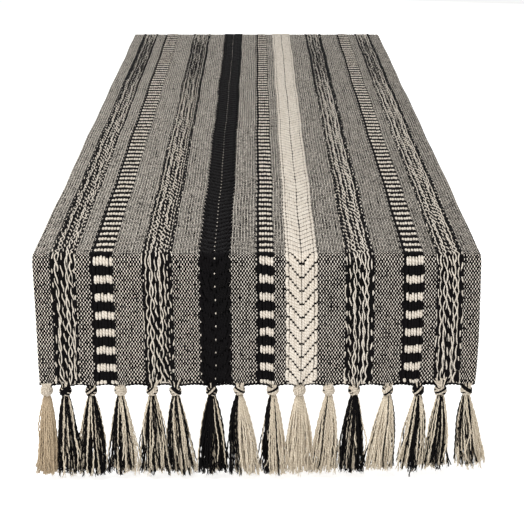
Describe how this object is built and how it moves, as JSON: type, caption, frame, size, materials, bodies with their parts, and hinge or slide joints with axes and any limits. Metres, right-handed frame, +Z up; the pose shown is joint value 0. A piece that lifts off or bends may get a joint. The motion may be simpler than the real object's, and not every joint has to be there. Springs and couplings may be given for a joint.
{
  "type": "table runner",
  "caption": "Hand-woven striped table runner draped over a table, with ladder, cord, braid and chevron bands and knotted tassels at both ends.",
  "frame": {"origin": "centre of the underside of the stretch that lies on the table, at the table top's surface", "axes": "+X across the cloth, +Y along it towards the rear end, +Z up; both ends hang down along -Z"},
  "size_m": [0.381, 1.1578, 0.199],
  "materials": {
    "ground_weave": "plain weave of cream warp and black weft, matt",
    "cord_yarn": "black and cream yarns, matt",
    "ladder_yarn": "alternating black and cream blocks, matt",
    "black_yarn": "black cotton yarn, matt",
    "cream_yarn": "unbleached cotton yarn, matt",
    "beige_yarn": "unbleached cotton yarn, darker, matt",
    "mixed_yarn": "black and cream cotton yarns together, matt"
  },
  "bodies": {
    "table_span": {"span_ground_cloth": "ground_weave", "span_cord_bands": "cord_yarn", "span_ladder_bands": "ladder_yarn", "span_black_braid_band": "black_yarn", "span_chevron_band": "cream_yarn", "front_bend": "ground_weave", "rear_bend": "ground_weave"},
    "front_drop": {"front_ground_cloth": "ground_weave", "front_cord_bands": "cord_yarn", "front_ladder_bands": "ladder_yarn", "front_black_braid_band": "black_yarn", "front_chevron_band": "cream_yarn", "front_closing_weft": "black_yarn", "front_knots": "mixed_yarn"},
    "rear_drop": {"rear_ground_cloth": "ground_weave", "rear_cord_bands": "cord_yarn", "rear_ladder_bands": "ladder_yarn", "rear_black_braid_band": "black_yarn", "rear_chevron_band": "cream_yarn", "rear_closing_weft": "black_yarn", "rear_knots": "mixed_yarn"},
    "front_tassel_01": {"front_tassel_01": "beige_yarn"},
    "front_tassel_02": {"front_tassel_02": "black_yarn"},
    "front_tassel_03": {"front_tassel_03": "mixed_yarn"},
    "front_tassel_04": {"front_tassel_04": "mixed_yarn"},
    "front_tassel_05": {"front_tassel_05": "mixed_yarn"},
    "front_tassel_06": {"front_tassel_06": "mixed_yarn"},
    "front_tassel_07": {"front_tassel_07": "black_yarn"},
    "front_tassel_08": {"front_tassel_08": "mixed_yarn"},
    "front_tassel_09": {"front_tassel_09": "mixed_yarn"},
    "front_tassel_10": {"front_tassel_10": "cream_yarn"},
    "front_tassel_11": {"front_tassel_11": "cream_yarn"},
    "front_tassel_12": {"front_tassel_12": "black_yarn"},
    "front_tassel_13": {"front_tassel_13": "cream_yarn"},
    "front_tassel_14": {"front_tassel_14": "mixed_yarn"},
    "front_tassel_15": {"front_tassel_15": "mixed_yarn"},
    "front_tassel_16": {"front_tassel_16": "mixed_yarn"},
    "rear_tassel_01": {"rear_tassel_01": "beige_yarn"},
    "rear_tassel_02": {"rear_tassel_02": "black_yarn"},
    "rear_tassel_03": {"rear_tassel_03": "mixed_yarn"},
    "rear_tassel_04": {"rear_tassel_04": "mixed_yarn"},
    "rear_tassel_05": {"rear_tassel_05": "mixed_yarn"},
    "rear_tassel_06": {"rear_tassel_06": "mixed_yarn"},
    "rear_tassel_07": {"rear_tassel_07": "black_yarn"},
    "rear_tassel_08": {"rear_tassel_08": "mixed_yarn"},
    "rear_tassel_09": {"rear_tassel_09": "mixed_yarn"},
    "rear_tassel_10": {"rear_tassel_10": "cream_yarn"},
    "rear_tassel_11": {"rear_tassel_11": "cream_yarn"},
    "rear_tassel_12": {"rear_tassel_12": "black_yarn"},
    "rear_tassel_13": {"rear_tassel_13": "cream_yarn"},
    "rear_tassel_14": {"rear_tassel_14": "mixed_yarn"},
    "rear_tassel_15": {"rear_tassel_15": "mixed_yarn"},
    "rear_tassel_16": {"rear_tassel_16": "mixed_yarn"}
  },
  "joints": [
    {"name": "front_lift", "type": "hinge", "parent": "table_span", "child": "front_drop", "pos_m": [0, -0.564, -0.006], "axis": [-1, 0, 0], "range_deg": [0, 90], "deforming": ["front_bend"]},
    {"name": "rear_lift", "type": "hinge", "parent": "table_span", "child": "rear_drop", "pos_m": [0, 0.564, -0.006], "axis": [1, 0, 0], "range_deg": [0, 90], "deforming": ["rear_bend"]},
    {"name": "front_swing_01", "type": "hinge", "parent": "front_drop", "child": "front_tassel_01", "pos_m": [-0.1815, -0.5709, -0.1326], "axis": [1, 0, 0], "range_deg": [-90, 90]},
    {"name": "front_swing_02", "type": "hinge", "parent": "front_drop", "child": "front_tassel_02", "pos_m": [-0.1645, -0.5709, -0.1326], "axis": [1, 0, 0], "range_deg": [-90, 90]},
    {"name": "front_swing_03", "type": "hinge", "parent": "front_drop", "child": "front_tassel_03", "pos_m": [-0.1435, -0.5709, -0.1326], "axis": [1, 0, 0], "range_deg": [-90, 90]},
    {"name": "front_swing_04", "type": "hinge", "parent": "front_drop", "child": "front_tassel_04", "pos_m": [-0.1185, -0.5709, -0.1326], "axis": [1, 0, 0], "range_deg": [-90, 90]},
    {"name": "front_swing_05", "type": "hinge", "parent": "front_drop", "child": "front_tassel_05", "pos_m": [-0.0905, -0.5709, -0.1326], "axis": [1, 0, 0], "range_deg": [-90, 90]},
    {"name": "front_swing_06", "type": "hinge", "parent": "front_drop", "child": "front_tassel_06", "pos_m": [-0.0705, -0.5709, -0.1326], "axis": [1, 0, 0], "range_deg": [-90, 90]},
    {"name": "front_swing_07", "type": "hinge", "parent": "front_drop", "child": "front_tassel_07", "pos_m": [-0.0385, -0.5709, -0.1326], "axis": [1, 0, 0], "range_deg": [-90, 90]},
    {"name": "front_swing_08", "type": "hinge", "parent": "front_drop", "child": "front_tassel_08", "pos_m": [-0.0145, -0.5709, -0.1326], "axis": [1, 0, 0], "range_deg": [-90, 90]},
    {"name": "front_swing_09", "type": "hinge", "parent": "front_drop", "child": "front_tassel_09", "pos_m": [0.0155, -0.5709, -0.1326], "axis": [1, 0, 0], "range_deg": [-90, 90]},
    {"name": "front_swing_10", "type": "hinge", "parent": "front_drop", "child": "front_tassel_10", "pos_m": [0.0365, -0.5709, -0.1326], "axis": [1, 0, 0], "range_deg": [-90, 90]},
    {"name": "front_swing_11", "type": "hinge", "parent": "front_drop", "child": "front_tassel_11", "pos_m": [0.0625, -0.5709, -0.1326], "axis": [1, 0, 0], "range_deg": [-90, 90]},
    {"name": "front_swing_12", "type": "hinge", "parent": "front_drop", "child": "front_tassel_12", "pos_m": [0.0855, -0.5709, -0.1326], "axis": [1, 0, 0], "range_deg": [-90, 90]},
    {"name": "front_swing_13", "type": "hinge", "parent": "front_drop", "child": "front_tassel_13", "pos_m": [0.1125, -0.5709, -0.1326], "axis": [1, 0, 0], "range_deg": [-90, 90]},
    {"name": "front_swing_14", "type": "hinge", "parent": "front_drop", "child": "front_tassel_14", "pos_m": [0.1385, -0.5709, -0.1326], "axis": [1, 0, 0], "range_deg": [-90, 90]},
    {"name": "front_swing_15", "type": "hinge", "parent": "front_drop", "child": "front_tassel_15", "pos_m": [0.1595, -0.5709, -0.1326], "axis": [1, 0, 0], "range_deg": [-90, 90]},
    {"name": "front_swing_16", "type": "hinge", "parent": "front_drop", "child": "front_tassel_16", "pos_m": [0.1815, -0.5709, -0.1326], "axis": [1, 0, 0], "range_deg": [-90, 90]},
    {"name": "rear_swing_01", "type": "hinge", "parent": "rear_drop", "child": "rear_tassel_01", "pos_m": [-0.1815, 0.5709, -0.1326], "axis": [-1, 0, 0], "range_deg": [-90, 90]},
    {"name": "rear_swing_02", "type": "hinge", "parent": "rear_drop", "child": "rear_tassel_02", "pos_m": [-0.1645, 0.5709, -0.1326], "axis": [-1, 0, 0], "range_deg": [-90, 90]},
    {"name": "rear_swing_03", "type": "hinge", "parent": "rear_drop", "child": "rear_tassel_03", "pos_m": [-0.1435, 0.5709, -0.1326], "axis": [-1, 0, 0], "range_deg": [-90, 90]},
    {"name": "rear_swing_04", "type": "hinge", "parent": "rear_drop", "child": "rear_tassel_04", "pos_m": [-0.1185, 0.5709, -0.1326], "axis": [-1, 0, 0], "range_deg": [-90, 90]},
    {"name": "rear_swing_05", "type": "hinge", "parent": "rear_drop", "child": "rear_tassel_05", "pos_m": [-0.0905, 0.5709, -0.1326], "axis": [-1, 0, 0], "range_deg": [-90, 90]},
    {"name": "rear_swing_06", "type": "hinge", "parent": "rear_drop", "child": "rear_tassel_06", "pos_m": [-0.0705, 0.5709, -0.1326], "axis": [-1, 0, 0], "range_deg": [-90, 90]},
    {"name": "rear_swing_07", "type": "hinge", "parent": "rear_drop", "child": "rear_tassel_07", "pos_m": [-0.0385, 0.5709, -0.1326], "axis": [-1, 0, 0], "range_deg": [-90, 90]},
    {"name": "rear_swing_08", "type": "hinge", "parent": "rear_drop", "child": "rear_tassel_08", "pos_m": [-0.0145, 0.5709, -0.1326], "axis": [-1, 0, 0], "range_deg": [-90, 90]},
    {"name": "rear_swing_09", "type": "hinge", "parent": "rear_drop", "child": "rear_tassel_09", "pos_m": [0.0155, 0.5709, -0.1326], "axis": [-1, 0, 0], "range_deg": [-90, 90]},
    {"name": "rear_swing_10", "type": "hinge", "parent": "rear_drop", "child": "rear_tassel_10", "pos_m": [0.0365, 0.5709, -0.1326], "axis": [-1, 0, 0], "range_deg": [-90, 90]},
    {"name": "rear_swing_11", "type": "hinge", "parent": "rear_drop", "child": "rear_tassel_11", "pos_m": [0.0625, 0.5709, -0.1326], "axis": [-1, 0, 0], "range_deg": [-90, 90]},
    {"name": "rear_swing_12", "type": "hinge", "parent": "rear_drop", "child": "rear_tassel_12", "pos_m": [0.0855, 0.5709, -0.1326], "axis": [-1, 0, 0], "range_deg": [-90, 90]},
    {"name": "rear_swing_13", "type": "hinge", "parent": "rear_drop", "child": "rear_tassel_13", "pos_m": [0.1125, 0.5709, -0.1326], "axis": [-1, 0, 0], "range_deg": [-90, 90]},
    {"name": "rear_swing_14", "type": "hinge", "parent": "rear_drop", "child": "rear_tassel_14", "pos_m": [0.1385, 0.5709, -0.1326], "axis": [-1, 0, 0], "range_deg": [-90, 90]},
    {"name": "rear_swing_15", "type": "hinge", "parent": "rear_drop", "child": "rear_tassel_15", "pos_m": [0.1595, 0.5709, -0.1326], "axis": [-1, 0, 0], "range_deg": [-90, 90]},
    {"name": "rear_swing_16", "type": "hinge", "parent": "rear_drop", "child": "rear_tassel_16", "pos_m": [0.1815, 0.5709, -0.1326], "axis": [-1, 0, 0], "range_deg": [-90, 90]}
  ]
}
